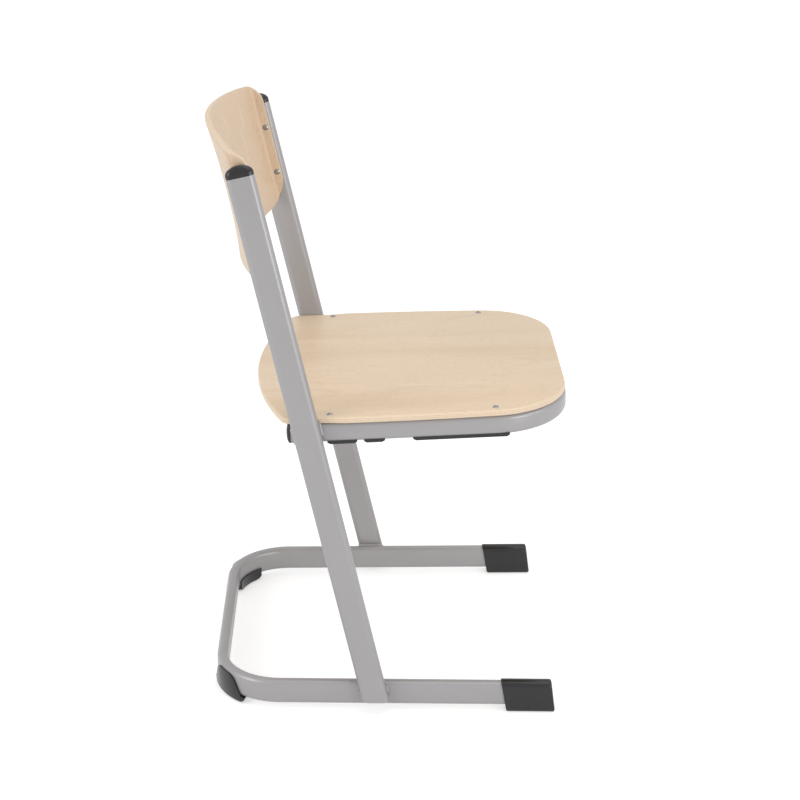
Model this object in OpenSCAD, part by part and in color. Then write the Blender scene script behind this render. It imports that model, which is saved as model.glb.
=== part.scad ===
// Rigid school chair: a welded cantilever frame of flat-oval steel tube with a
// moulded beech seat and backrest riveted to it.
// Millimetres, +Z up, the sitter faces -Y and the sitter's left is +X.
// The origin is on the floor, at the middle of the chair's width and depth.

/* [Frame tube] */
// Depth of the flat-oval tube of the base and the uprights
tube_d = 38; // [36:0.5:40]
// Thickness of that tube
tube_t = 16.2; // [15:0.1:17]
// Wall of that tube
tube_wall = 1.5; // [1:0.1:2]

/* [Base] */
// Overall width, across the uprights at the underside of the base tube
overall_w = 478.2; // [450:0.2:500]
// From the foot of the uprights back to the centreline of the rear bar
base_rear = 228.9; // [215:0.1:245]
// From the foot of the uprights forward to the cut ends of the arms
base_front = 246; // [230:1:256]
// Bend radius of the base tube, at its centreline
base_bend = 88.8; // [75:0.2:105]
// Angle by which each arm splays out towards the front
arm_splay = 1; // [0.5:0.1:1.5]
// Height of the underside of the base tube above the floor
base_z = 9; // [8:0.5:12]

/* [Uprights] */
// Angle by which the uprights lean back
lean = 13.26; // [11:0.02:15]
// Angle by which each upright closes in towards the top
toe_in = 1.45; // [1:0.05:1.9]
// Length along an upright, from the underside of the base to its cut top
upright_len = 801; // [785:1:825]
// Height above the floor of the level cut at an upright's foot
foot_cut = 22.5; // [19:0.5:26]

/* [Seat] */
// Height of the top of the seat plate above the floor, straight over the feet
seat_h = 457.4; // [430:0.2:480]
// Angle by which the seat rises to the front
seat_tilt = 2.4; // [1.5:0.1:3.5]
// How far the seat plate stands out over the seat frame's sides, where it is widest
seat_overhang = 4.9; // [3.9:0.1:8]
// From the feet forward to the front edge of the seat plate
seat_front = 262; // [250:1:275]
// From the feet back to the middle of the rear edge of the seat plate
seat_rear = 176.3; // [170:0.1:185]
// Thickness of the seat plate
seat_t = 9; // [8:0.5:11]
// Radius of the front corners of the seat plate
seat_corner = 109; // [95:1:120]
// Radius of the rear corners of the seat plate
seat_rear_corner = 16; // [10:0.5:20]
// Radius of the bowed rear edge of the seat plate
seat_rear_bow = 520; // [500:5:600]
// How much narrower each side is at the start of the front corner
seat_side_draw = 7; // [4:0.5:10]
// From the feet forward to where the tube of the seat frame reaches
rail_front = 263.2; // [252:0.2:276]
// Height of the flat-oval tube of the seat frame
rail_h = 30; // [28:0.5:32]
// Thickness of that tube
rail_t = 16; // [15:0.1:17]
// Wall of that tube
rail_wall = 1.5; // [1:0.1:2]
// Bend radius of the seat frame, at its centreline
rail_bend = 99; // [88:1:108]
// Angle by which each side of the seat frame closes in towards the front
rail_taper = 1.42; // [1:0.02:1.8]
// How far the rails run on behind the uprights
rail_tail = 4; // [2:0.5:7]

/* [Backrest] */
// How far the middle of the upper edge rises above the uprights' cut tops, along them
back_rise = 49.5; // [39:0.5:69]
// Height of the backrest in the middle, along the uprights
back_h = 203; // [190:1:220]
// How much lower the upper edge is at the sides than in the middle
back_crown = 22.5; // [14:0.5:30]
// Thickness of the backrest
back_t = 9; // [8:0.5:10]
// How far the middle of the rear face stands behind the uprights' centreline
back_depth = 44; // [38:0.1:50]
// How far the side edges reach in front of the uprights' centreline
back_reach = 11.8; // [10:0.1:14]
// Width of the flat margin at each side
back_flat = 10.3; // [9:0.1:12]
// Outer radius of the bend between the flat margin and the curved back
back_bend = 16; // [14:0.5:20]
// Upright bow of the middle: how far the rear face falls back 100 mm above and below it
back_bow = 6.7; // [3:0.1:9]
// Radius of the upper corners
back_upper_corner = 22; // [12:1:32]
// Radius of the lower corners
back_lower_corner = 40; // [28:1:46]

/* [Rivets] */
// Diameter of the rivet shanks
rivet_d = 4.8; // [4:0.1:5.2]
// Diameter of the rivet heads
rivet_head = 9.2; // [8.6:0.1:9.6]
// Height of the rivet heads
rivet_head_h = 1.6; // [1.2:0.1:2.2]
// Rear pair of seat rivets, behind the feet
seat_rivet_rear = 69.4; // [62:0.2:74]
// Front pair of seat rivets, in front of the feet
seat_rivet_front = 157.6; // [150:0.2:162]
// Upper pair of backrest rivets, down from the uprights' cut tops
back_rivet_drop = 35; // [26:0.5:40]
// Distance from there down to the lower pair
back_rivet_pitch = 70.5; // [60:0.5:73]

/* [Plastic parts] */
// Length of the front sleeves along the top
sleeve_len = 72.5; // [65:0.5:85]
// Wall of the front sleeves
sleeve_wall = 2; // [1.6:0.1:3]
// How much shorter the sleeves are along the sole than along the top
sleeve_slant = 9; // [5:0.5:12]
// Wall of the rear corner glides
glide_wall = 2.6; // [2:0.1:3.2]
// Where a rear glide starts on the bend, as an angle from the side of the chair
glide_start = 32.4; // [28:0.2:38]
// Where it ends, as the same angle
glide_end = 83.2; // [78:0.2:88]
// Height above the floor of a rear glide's outer wall
glide_rim = 40.5; // [34:0.5:41]
// Height above the floor of its inner wall
glide_inner_rim = 20.5; // [16:0.5:24]
// Height of the domed caps on the uprights
cap_h = 15; // [12:0.5:18]
// Height of the domed plugs in the rails
plug_h = 5.7; // [4.5:0.1:8]
// Thickness of the pads under the rails
pad_t = 2.4; // [1.6:0.1:4]
// Width of the pads
pad_w = 13; // [11:0.5:14]

/* [Hidden] */
$fn = 64;

// Clearances and the overrun of cuts
cut_over = 2;
weld_gap = 0.15;
fit_gap = 0.3;
rivet_gap = 0.2;
sleeve_gap = 0.15;

// Colours as the photo shows them
steel_colour = [0.68, 0.68, 0.68];
beech_colour = [0.88, 0.79, 0.68];
black_colour = [0.23, 0.23, 0.24];
rivet_colour = [0.80, 0.80, 0.78];

LEFT = 1;
RIGHT = -1;

// Part of a bend that each of its two arcs covers, over a half so that they overlap
bend_share = 0.56;

// Uprights, in their own frame: X across, Y rearward and square to the tubes,
// Z along them from the underside of the base
upright_x = overall_w / 2 - tube_t / 2 / cos(toe_in);
function inner_face(s) = upright_x - tube_t / 2 / cos(toe_in) - s * tan(toe_in);

// Base: the arms stand inside the uprights, which are welded to their outer faces
arm_flat_top = base_z + tube_d - tube_t / 2;
arm_top_s = (arm_flat_top - base_z) / cos(lean);
arm_x = inner_face(arm_top_s) - weld_gap - tube_d / 2 * tan(arm_splay)
    - tube_t / 2 / cos(arm_splay);
base_mid = base_z + tube_d / 2;
base_corner_y = base_rear - base_bend;

// Seat, in its own frame: Z = 0 on top of the plate, Y = 0 over the feet
rail_mid = -seat_t - rail_h / 2;
rail_mid_h = seat_h + rail_mid;
upright_y = (rail_mid_h - base_z) * tan(lean);
upright_half = tube_d / 2 / cos(lean);
rail_weld_s = (rail_mid_h - base_z) / cos(lean);
rail_x = inner_face(rail_weld_s) - weld_gap - rail_t / 2 / cos(rail_taper)
    - (rail_h / 2 * tan(toe_in) + upright_half * tan(rail_taper));
rail_rear = upright_y + upright_half + rail_tail;
rivet_inset = 1.2;
function rail_at(y) = rail_x + (y - upright_y) * tan(rail_taper);

// Seat plate outline; its sides are widest a little behind the feet
seat_widest_y = 49.6;
seat_half = rail_at(seat_widest_y) + rail_t / 2 / cos(rail_taper) + seat_overhang;
seat_front_y = -seat_front + seat_corner;
upright_top_y = (seat_h - base_z) * tan(lean);
relief_s = (seat_h - base_z) * cos(lean) + (upright_top_y + upright_half) * sin(lean);
relief_x = inner_face(relief_s) - fit_gap;
relief_end = upright_top_y - upright_half - seat_t * tan(lean) - fit_gap;
relief_run = 36;
relief_start = relief_end - relief_run;
function side_half(y) =
    seat_half
    - seat_side_draw * pow((y - seat_widest_y) / (seat_widest_y - seat_front_y), 2);
function ease(u) = u * u * (3 - 2 * u);
side_lean = atan(2 * seat_side_draw / (seat_widest_y - seat_front_y));
front_corner_y = seat_front_y - seat_corner * sin(side_lean);
front_corner_x = side_half(front_corner_y) - seat_corner * cos(side_lean);
rear_centre_y = seat_rear - seat_rear_bow;
rear_corner_x = relief_x - seat_rear_corner;
rear_corner_y = rear_centre_y
    + sqrt(pow(seat_rear_bow - seat_rear_corner, 2) - pow(rear_corner_x, 2));
rear_corner_turn = atan2(rear_corner_y - rear_centre_y, rear_corner_x);
corner_steps = 18;
side_steps = 12;
relief_steps = 8;
rear_steps = 10;
half_outline = concat(
    [for (i = [0 : corner_steps])
        let (a = -90 + (90 - side_lean) * i / corner_steps)
        [front_corner_x + seat_corner * cos(a), seat_front_y + seat_corner * sin(a)]],
    [for (i = [1 : side_steps])
        let (y = front_corner_y + (relief_start - front_corner_y) * i / side_steps)
        [side_half(y), y]],
    [for (i = [1 : relief_steps])
        let (u = i / relief_steps, y = relief_start + relief_run * u)
        [side_half(y) + (relief_x - side_half(y)) * ease(u), y]],
    [for (i = [0 : relief_steps])
        let (a = rear_corner_turn * i / relief_steps)
        [rear_corner_x + seat_rear_corner * cos(a), rear_corner_y + seat_rear_corner * sin(a)]],
    [for (i = [1 : rear_steps])
        let (a = rear_corner_turn + (90 - rear_corner_turn) * i / rear_steps)
        [seat_rear_bow * cos(a), rear_centre_y + seat_rear_bow * sin(a)]]);
half_count = len(half_outline);
seat_outline = concat(half_outline,
    [for (i = [half_count - 2 : -1 : 0]) [-half_outline[i][0], half_outline[i][1]]]);

// Backrest: its rear face in plan, drawn a little above its middle, is a wide arc, a
// bend and a flat margin
back_top = upright_len + back_rise;
back_bottom = back_top - back_h;
back_plan_drop = 45.9;
back_plan_s = upright_len - back_plan_drop;
back_x = inner_face(back_plan_s) - rivet_gap;
back_flat_w = back_flat - back_reach;
back_turn = 2 * atan((back_depth - back_flat_w - back_bend) / (back_x - back_bend));
back_radius = (back_x - back_bend) / sin(back_turn) + back_bend;
deg_arc = PI / 180;
back_arc_len = back_radius * back_turn * deg_arc;
back_bend_len = back_bend * (90 - back_turn) * deg_arc;
back_half = back_arc_len + back_bend_len + back_flat;
function back_angle(t) =
    t <= back_arc_len ? t / back_radius / deg_arc
    : t <= back_arc_len + back_bend_len ? back_turn + (t - back_arc_len) / back_bend / deg_arc
    : 90;
function back_plan(t) =
    let (a = back_angle(t))
    t <= back_arc_len
        ? [back_radius * sin(a), back_depth - back_radius * (1 - cos(a))]
    : t <= back_arc_len + back_bend_len
        ? [(back_radius - back_bend) * sin(back_turn) + back_bend * sin(a),
            back_depth - back_radius + (back_radius - back_bend) * cos(back_turn)
            + back_bend * cos(a)]
    : [back_x, back_flat_w - (t - back_arc_len - back_bend_len)];
bow_span = 100;
function back_bow_at(s) = back_bow * pow((s - back_plan_s) / bow_span, 2);
function bow_fade(t) = t < back_arc_len ? pow(cos(90 * t / back_arc_len), 2) : 0;
function corner_rise(d, r) = d < r ? r - sqrt(r * r - pow(r - d, 2)) : 0;
function back_low(t) = back_bottom + corner_rise(back_half - t, back_lower_corner);
function back_high(t) =
    back_top - back_crown * pow(t / back_half, 2) - corner_rise(back_half - t, back_upper_corner);
// A point of the backrest: t along the curve from the middle, s up, depth into the plate
function back_point(t, s, depth) =
    let (
        u = abs(t),
        side = t < 0 ? -1 : 1,
        a = back_angle(u),
        plan = back_plan(u),
        x = plan[0] - depth * sin(a),
        share = min(1, x / (back_x - back_t)))
    [side * (x - (s - back_plan_s) * tan(toe_in) * share),
        plan[1] - depth * cos(a) + back_bow_at(s) * bow_fade(u), s];
back_columns = 30;
back_rows = 12;
back_rivet_w = back_flat_w - rivet_head / 2 + fit_gap;

// Half the width of a rear glide
glide_half = tube_t / 2 + sleeve_gap + glide_wall;

// Where the chair reaches to, from the feet, which sets the middle of its depth
rear_reach = max(
    back_top * sin(lean) + (back_depth + back_bow_at(back_top)) * cos(lean),
    base_rear + glide_half);
rail_nose_low = rail_mid - (rail_h - rail_t) / 2;
sleeve_end = 3.4;
sleeve_rake = 7;
front_reach = max(
    rail_front * cos(seat_tilt) - rail_nose_low * sin(seat_tilt),
    seat_front * cos(seat_tilt) + seat_t * sin(seat_tilt),
    base_front + sleeve_end + sleeve_rake);
foot_y = (front_reach - rear_reach) / 2;

// Rivets
back_rivet_high = upright_len - back_rivet_drop;
rivet_bulb = 6.2;
rivet_bulb_h = 4;
rivet_recess_d = 2.8;
rivet_recess = 0.7;

// Plugs and caps: the upright rims of their domes, and the spigots in the tubes
plug_rim = 1.6;
cap_rim = 3.5;
side_crown_share = 0.33;
plug_spigot = 22;
plug_core_wall = 2;

// Sleeves and glides: their rounded edges; a glide's ends, where its outer wall has a
// toe, a slope and a shoulder, its inner wall is shorter and its sole is rounded up to
// a height; and the peg that holds a glide in place
sole_round = 5;
edge_round = 3;
glide_toe = 6;
glide_toe_h = 10.5;
glide_toe_round = 5;
glide_slope = 60;
glide_shoulder = 16;
glide_skew = 16;
glide_spare = 1;
glide_end_round = 20;
glide_end_low = 8;
glide_cut_set = 0.1;
peg_d = 7;
peg_angle = (glide_start + glide_end) / 2;
peg_reach = 6;

// Weld beads: their radius, and how far the middle of a bead stands in from a face
bead_r = 3;
bead_set = 1.4;

// How far the pads reach up the sides of the rails, and the run of their sloped ends
pad_wrap = 2.5;
pad_end = 4;
// Each pad as where its two ends are behind the feet: one just in front of the upright,
// one a little in front of it, and a long one that ends at the bend of the seat frame
rear_pad_gap = 6.5;
rear_pad_len = 41;
middle_pad_gap = 9;
middle_pad_len = 29;
front_pad_over = 20;
front_pad_len = 133;
rear_pad_end = upright_y - upright_half - rear_pad_gap;
rear_pad = [rear_pad_end - rear_pad_len, rear_pad_end];
middle_pad_end = rear_pad[0] - middle_pad_gap;
middle_pad = [middle_pad_end - middle_pad_len, middle_pad_end];
front_pad_front = rail_t / 2 + rail_bend - rail_front - front_pad_over;
front_pad = [front_pad_front, front_pad_front + front_pad_len];

// A child made for the left side, or mirrored to the right
module on_side(side) {
    if (side == LEFT)
        children();
    else
        mirror([1, 0, 0])
            children();
}

// The frame whose Y = 0 is at the feet of the uprights
module from_feet() {
    translate([0, foot_y, 0])
        children();
}

// The frame of the uprights
module along_uprights() {
    from_feet()
        translate([0, 0, base_z])
            rotate([-lean, 0, 0])
                children();
}

// The frame of the seat
module on_seat() {
    from_feet()
        translate([0, 0, seat_h])
            rotate([-seat_tilt, 0, 0])
                children();
}

// Flat-oval section, t across X and h along Y
module flat_oval(t, h) {
    square([t, h - t], center = true);
    for (end = [-1, 1])
        translate([0, end * (h - t) / 2])
            circle(d = t);
}

// A flat-oval bar bent to a U that is closed at +Y; half_x is the centreline at y = 0.
// Each bend is two arcs about one axis that overlap, one square to the arm and one
// square to the closed end, so that every joint is exact.
module u_bar(t, h, half_x, closed, open, bend, splay, over) {
    centre_y = closed - t / 2 - bend;
    tangent_y = centre_y + bend * sin(splay);
    centre_x = half_x - tangent_y * tan(splay) - bend * cos(splay);
    arm = (tangent_y - open) / cos(splay) + over;
    turn = (90 - splay) * bend_share;
    for (side = [LEFT, RIGHT])
        on_side(side)
            translate([centre_x, centre_y, 0]) {
                rotate([0, 0, splay])
                    bend_and_run(t, h, bend, turn, arm);
                mirror([1, -1, 0])
                    bend_and_run(t, h, bend, turn, centre_x + cut_over);
            }
}

// An arc about the origin from the X axis on, and a straight run back from its start
module bend_and_run(t, h, bend, turn, run) {
    rotate_extrude(angle = turn)
        translate([bend, 0])
            flat_oval(t, h);
    translate([bend, 0, 0])
        rotate([90, 0, 0])
            linear_extrude(run)
                flat_oval(t, h);
}

// The outer form of the base tube, in the frame of the feet
module base_outer() {
    translate([0, 0, base_mid])
        u_bar(tube_t, tube_d, arm_x, base_rear + tube_t / 2, -base_front, base_bend,
            arm_splay, 0);
}

// The outer form of the left upright, in the frame of the uprights
module upright_outer(length) {
    translate([upright_x, 0, 0])
        rotate([0, -toe_in, 0])
            linear_extrude(length / cos(toe_in))
                flat_oval(tube_t, tube_d);
}

// The outer form of the seat frame, in the frame of the seat
module rail_outer() {
    translate([0, 0, rail_mid])
        mirror([0, 1, 0])
            u_bar(rail_t, rail_h, rail_at(0), rail_front, -rail_rear, rail_bend,
                rail_taper, 0);
}

// The middle of the base's left corner
base_tangent_x = arm_x - (base_corner_y + base_bend * sin(arm_splay)) * tan(arm_splay);
base_corner_x = base_tangent_x - base_bend * cos(arm_splay);

// Places of the rivets of the left side
module at_seat_rivets() {
    for (y = [seat_rivet_rear, -seat_rivet_front])
        translate([rail_at(y) - rivet_inset, y, 0])
            children();
}

// The left pair of backrest rivets: Z points inward from the plate's inner face
module at_back_rivets() {
    for (s = [back_rivet_high - back_rivet_pitch, back_rivet_high])
        translate([inner_face(s) - rivet_gap - back_t / cos(toe_in), back_rivet_w, s])
            rotate([0, -90 - toe_in, 0])
                children();
}

module base_frame() {
    color(steel_colour)
        from_feet()
            difference() {
                base_outer();
                translate([0, 0, base_mid])
                    u_bar(tube_t - 2 * tube_wall, tube_d - 2 * tube_wall, arm_x,
                        base_rear + tube_t / 2 - tube_wall, -base_front, base_bend,
                        arm_splay, cut_over);
                for (side = [LEFT, RIGHT])
                    on_side(side)
                        at_glide_peg()
                            cylinder(d = peg_d + 2 * rivet_gap, h = peg_reach);
            }
}

// The place of the peg of the left rear glide, on the underside of the tube
module at_glide_peg() {
    translate([base_corner_x, base_corner_y, 0])
        rotate([0, 0, peg_angle])
            translate([base_bend, 0, base_z - sleeve_gap])
                children();
}

module upright(side) {
    color(steel_colour)
        on_side(side)
            difference() {
                along_uprights()
                    difference() {
                        upright_outer(upright_len);
                        translate([upright_x, 0, 0])
                            rotate([0, -toe_in, 0])
                                translate([0, 0, -cut_over])
                                    linear_extrude(upright_len / cos(toe_in) + 2 * cut_over)
                                        flat_oval(tube_t - 2 * tube_wall,
                                            tube_d - 2 * tube_wall);
                        at_back_rivets()
                            translate([0, 0, -back_t - rivet_gap - tube_wall - cut_over])
                                cylinder(d = rivet_d + 2 * rivet_gap,
                                    h = tube_wall + 2 * cut_over);
                    }
                from_feet()
                    translate([upright_x - tube_d, -tube_d, -foot_cut])
                        cube([2 * tube_d, 2 * tube_d, 2 * foot_cut]);
            }
}

module seat_frame() {
    color(steel_colour)
        on_seat()
            difference() {
                rail_outer();
                translate([0, 0, rail_mid])
                    mirror([0, 1, 0])
                        u_bar(rail_t - 2 * rail_wall, rail_h - 2 * rail_wall, rail_at(0),
                            rail_front - rail_wall, -rail_rear, rail_bend, rail_taper,
                            cut_over);
                for (side = [LEFT, RIGHT])
                    on_side(side)
                        at_seat_rivets()
                            translate([0, 0, -seat_t - rail_wall - cut_over])
                                cylinder(d = rivet_d + 2 * rivet_gap,
                                    h = rail_wall + 2 * cut_over);
            }
}

module seat_plate() {
    color(beech_colour)
        on_seat()
            difference() {
                translate([0, 0, -seat_t])
                    linear_extrude(seat_t)
                        polygon(seat_outline);
                for (side = [LEFT, RIGHT])
                    on_side(side)
                        at_seat_rivets()
                            translate([0, 0, -seat_t - cut_over])
                                cylinder(d = rivet_d + 2 * rivet_gap,
                                    h = seat_t + 2 * cut_over);
            }
}

// The backrest's skin: a grid of points on its rear face, then one on its front face
module back_form() {
    across = 2 * back_columns;
    up = back_rows + 1;
    layer = (across + 1) * up;
    points = [for (depth = [0, back_t], i = [-back_columns : back_columns], j = [0 : back_rows])
        let (
            t = back_half * sin(90 * i / back_columns),
            low = back_low(abs(t)),
            high = back_high(abs(t)))
        back_point(t, low + (high - low) * j / back_rows, depth)];
    faces = concat(
        [for (i = [0 : across - 1], j = [0 : back_rows - 1])
            let (p = i * up + j)
            [p, p + up, p + up + 1]],
        [for (i = [0 : across - 1], j = [0 : back_rows - 1])
            let (p = i * up + j)
            [p, p + up + 1, p + 1]],
        [for (i = [0 : across - 1], j = [0 : back_rows - 1])
            let (p = layer + i * up + j)
            [p, p + up + 1, p + up]],
        [for (i = [0 : across - 1], j = [0 : back_rows - 1])
            let (p = layer + i * up + j)
            [p, p + 1, p + up + 1]],
        [for (i = [0 : across - 1], k = [0, 1])
            let (p = i * up)
            k == 0 ? [p, layer + p, layer + p + up] : [p, layer + p + up, p + up]],
        [for (i = [0 : across - 1], k = [0, 1])
            let (p = i * up + back_rows)
            k == 0 ? [p, layer + p + up, layer + p] : [p, p + up, layer + p + up]],
        [for (j = [0 : back_rows - 1], k = [0, 1])
            k == 0 ? [j, j + 1, layer + j + 1] : [j, layer + j + 1, layer + j]],
        [for (j = [0 : back_rows - 1], k = [0, 1])
            let (p = across * up + j)
            k == 0 ? [p, layer + p + 1, p + 1] : [p, layer + p, layer + p + 1]]);
    polyhedron(points, faces);
}

module back_plate() {
    color(beech_colour)
        along_uprights()
            difference() {
                back_form();
                for (side = [LEFT, RIGHT])
                    on_side(side)
                        at_back_rivets()
                            translate([0, 0, -back_t - cut_over])
                                cylinder(d = rivet_d + 2 * rivet_gap,
                                    h = back_t + 2 * cut_over);
            }
}

// A blind rivet: domed head above z = 0, shank below it through the grip, then its bulb
module rivet(grip, slack) {
    ball = (pow(rivet_head / 2, 2) + pow(rivet_head_h, 2)) / (2 * rivet_head_h);
    difference() {
        intersection() {
            translate([0, 0, rivet_head_h - ball])
                sphere(ball);
            cylinder(d = rivet_head, h = rivet_head_h);
        }
        translate([0, 0, rivet_head_h - rivet_recess])
            cylinder(d = rivet_recess_d, h = rivet_recess + cut_over);
    }
    translate([0, 0, -grip - slack])
        cylinder(d = rivet_d, h = grip + slack);
    translate([0, 0, -grip - slack - rivet_bulb_h])
        cylinder(d = rivet_bulb, h = rivet_bulb_h);
}

// Drop of the rail's inner roof beside its crown, which the bulb stays clear of
bulb_reach = rivet_bulb / 2 + rivet_inset;
rail_bore_r = rail_t / 2 - rail_wall;
rail_slack = rail_bore_r - sqrt(pow(rail_bore_r, 2) - pow(bulb_reach, 2)) + rivet_gap;

module seat_rivets() {
    color(rivet_colour)
        on_seat()
            for (side = [LEFT, RIGHT])
                on_side(side)
                    at_seat_rivets()
                        rivet(seat_t + rail_wall, rail_slack);
}

module back_rivets() {
    color(rivet_colour)
        along_uprights()
            for (side = [LEFT, RIGHT])
                on_side(side)
                    at_back_rivets()
                        rivet(back_t + rivet_gap + tube_wall, rivet_gap);
}

// A domed plug for a tube of section t by h: its rim lies on the cut end at z = 0
module end_plug(t, h, wall, rim, height) {
    crown = height - rim;
    side_crown = min(crown, t * side_crown_share);
    long_r = (pow(h / 2, 2) + pow(crown, 2)) / (2 * crown);
    short_r = (pow(t / 2, 2) + pow(side_crown, 2)) / (2 * side_crown);
    bore_t = t - 2 * wall - 2 * fit_gap;
    bore_h = h - 2 * wall - 2 * fit_gap;
    intersection() {
        linear_extrude(height)
            flat_oval(t, h);
        translate([-t, 0, height - long_r])
            rotate([0, 90, 0])
                cylinder(r = long_r, h = 2 * t);
        translate([0, h, height - short_r])
            rotate([90, 0, 0])
                cylinder(r = short_r, h = 2 * h);
    }
    translate([0, 0, -plug_spigot])
        difference() {
            linear_extrude(plug_spigot)
                flat_oval(bore_t, bore_h);
            translate([0, 0, -plug_core_wall])
                linear_extrude(plug_spigot)
                    flat_oval(bore_t - 2 * plug_core_wall, bore_h - 2 * plug_core_wall);
        }
}

module upright_cap(side) {
    color(black_colour)
        on_side(side)
            along_uprights()
                translate([upright_x, 0, 0])
                    rotate([0, -toe_in, 0])
                        translate([0, 0, upright_len / cos(toe_in)])
                            end_plug(tube_t, tube_d, tube_wall, cap_rim, cap_h);
}

module rail_plug(side) {
    color(black_colour)
        on_side(side)
            on_seat()
                translate([rail_at(rail_rear), rail_rear, rail_mid])
                    rotate([-90, 0, -rail_taper])
                        end_plug(rail_t, rail_h, rail_wall, plug_rim, plug_h);
}

// Points of an arc of radius r that rounds the corner b of the path a, b, c
round_steps = 5;
end_steps = 10;
function unit(v) = v / norm(v);
function rounded(a, b, c, r) =
    let (
        u = unit(a - b),
        v = unit(c - b),
        half = acos(u * v) / 2,
        centre = b + unit(u + v) * r / sin(half),
        start = b + u * r / tan(half) - centre,
        turn = (90 - half) * 2 * sign(cross(-u, v)))
    [for (i = [0 : round_steps])
        let (k = turn * i / round_steps)
        centre + [start[0] * cos(k) - start[1] * sin(k), start[0] * sin(k) + start[1] * cos(k)]];

// The frame of the left arm's cut end: Y = 0 at the cut, Z = 0 on the floor
arm_end_x = arm_x + base_front * tan(arm_splay);
module at_arm_end() {
    from_feet()
        translate([arm_end_x, -base_front, 0])
            rotate([0, 0, arm_splay])
                children();
}

sleeve_t = tube_t + 2 * sleeve_wall;
sleeve_top = base_z + tube_d + sleeve_wall;
sleeve_side = let (
        front_low = [-sleeve_end - sleeve_rake, 0],
        front_high = [-sleeve_end, sleeve_top],
        rear_high = [sleeve_len - sleeve_end, sleeve_top],
        rear_low = [sleeve_len - sleeve_end - sleeve_slant, 0])
    concat(
        rounded(rear_low, front_low, front_high, sole_round),
        rounded(front_low, front_high, rear_high, edge_round),
        rounded(front_high, rear_high, rear_low, edge_round),
        rounded(rear_high, rear_low, front_low, edge_round));

module front_sleeve(side) {
    color(black_colour)
        on_side(side)
            at_arm_end()
                difference() {
                    intersection() {
                        translate([0, sleeve_len, 0])
                            rotate([90, 0, 0])
                                linear_extrude(2 * sleeve_len) {
                                    translate([0, sleeve_top - sleeve_t / 2])
                                        circle(d = sleeve_t);
                                    translate([-sleeve_t / 2, sole_round])
                                        square([sleeve_t,
                                            sleeve_top - sleeve_t / 2 - sole_round]);
                                    translate([-sleeve_t / 2 + sole_round, 0])
                                        square([sleeve_t - 2 * sole_round, sole_round]);
                                    for (end = [-1, 1])
                                        translate([end * (sleeve_t / 2 - sole_round),
                                            sole_round])
                                            circle(r = sole_round);
                                }
                        translate([-sleeve_t, 0, 0])
                            rotate([90, 0, 90])
                                linear_extrude(2 * sleeve_t)
                                    polygon(sleeve_side);
                    }
                    translate([0, sleeve_len + cut_over, base_mid])
                        rotate([90, 0, 0])
                            linear_extrude(sleeve_len + cut_over)
                                flat_oval(tube_t + 2 * sleeve_gap, tube_d + 2 * sleeve_gap);
                }
}

// Section of a rear glide: a cup round the underside of the tube, open at the top
module glide_section() {
    low_left = [-glide_half, 0];
    low_right = [glide_half, 0];
    high_right = [glide_half, glide_rim];
    high_left = [-glide_half, glide_inner_rim];
    difference() {
        polygon(concat(
            rounded(high_left, low_left, low_right, sole_round),
            rounded(low_left, low_right, high_right, sole_round),
            [high_right, [0, glide_rim], [0, glide_inner_rim], high_left]));
        translate([0, base_mid])
            flat_oval(tube_t + 2 * sleeve_gap, tube_d + 2 * sleeve_gap);
    }
}

// What is cut off one end of a glide, in the frame of that end: X outward from the
// middle of the bend, Y along the glide
module glide_end_cut() {
    top = glide_rim + glide_cut_set;
    toe_tip = [-cut_over, glide_toe_h];
    toe = [glide_toe, glide_toe_h];
    shoulder = [glide_toe + (top - glide_toe_h) / tan(glide_slope), top];
    ledge = shoulder + [2 * glide_shoulder, 0];
    translate([base_bend, 0, 0])
        rotate([90, 0, 90])
            linear_extrude(tube_t)
                polygon(concat(
                    [toe_tip],
                    rounded(toe_tip, toe, shoulder, glide_toe_round),
                    rounded(toe, shoulder, ledge, glide_shoulder),
                    [ledge, ledge + [0, cut_over], [-cut_over, top + cut_over]]));
    rise = glide_end_round - glide_end_low;
    turn = acos(rise / glide_end_round);
    centre = [glide_end_round * sin(turn) - glide_cut_set, glide_end_round - glide_cut_set];
    beyond = -5 * cut_over;
    translate([base_bend + glide_half, 0, 0])
        rotate([0, 0, -glide_skew])
            translate([-2 * tube_t, 0, 0])
                rotate([90, 0, 90])
                    linear_extrude(3 * tube_t)
                        polygon(concat(
                            [for (i = [0 : end_steps])
                                let (a = 270 - turn + turn * i / end_steps)
                                centre + glide_end_round * [cos(a), sin(a)]],
                            [[centre[0], -cut_over], [beyond, -cut_over],
                                [beyond, top + cut_over], [-glide_cut_set, top + cut_over]]));
}

module rear_glide(side) {
    color(black_colour)
        on_side(side)
            from_feet() {
                translate([base_corner_x, base_corner_y, 0])
                    difference() {
                        rotate([0, 0, glide_start - glide_spare])
                            rotate_extrude(angle = glide_end - glide_start + 2 * glide_spare)
                                translate([base_bend, 0])
                                    glide_section();
                        rotate([0, 0, glide_start])
                            glide_end_cut();
                        rotate([0, 0, glide_end])
                            mirror([0, 1, 0])
                                glide_end_cut();
                    }
                at_glide_peg()
                    translate([0, 0, -sleeve_gap])
                        cylinder(d = peg_d, h = peg_reach + sleeve_gap);
            }
}

// A pad on the underside of the left rail, hollowed to the tube that it sits on
module pad(side, ends) {
    length = ends[1] - ends[0];
    side_view = let (
            low = -pad_t,
            high = pad_wrap)
        [[0, high], [0, 0], [pad_end, low], [length - pad_end, low], [length, 0],
            [length, high]];
    color(black_colour)
        on_side(side)
            on_seat()
                difference() {
                    translate([rail_at(ends[0]), ends[0], rail_mid - rail_h / 2])
                        rotate([0, 0, -rail_taper])
                            translate([-pad_w / 2, 0, 0])
                                rotate([90, 0, 90])
                                    linear_extrude(pad_w)
                                        polygon(side_view);
                    rail_outer();
                }
}

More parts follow.
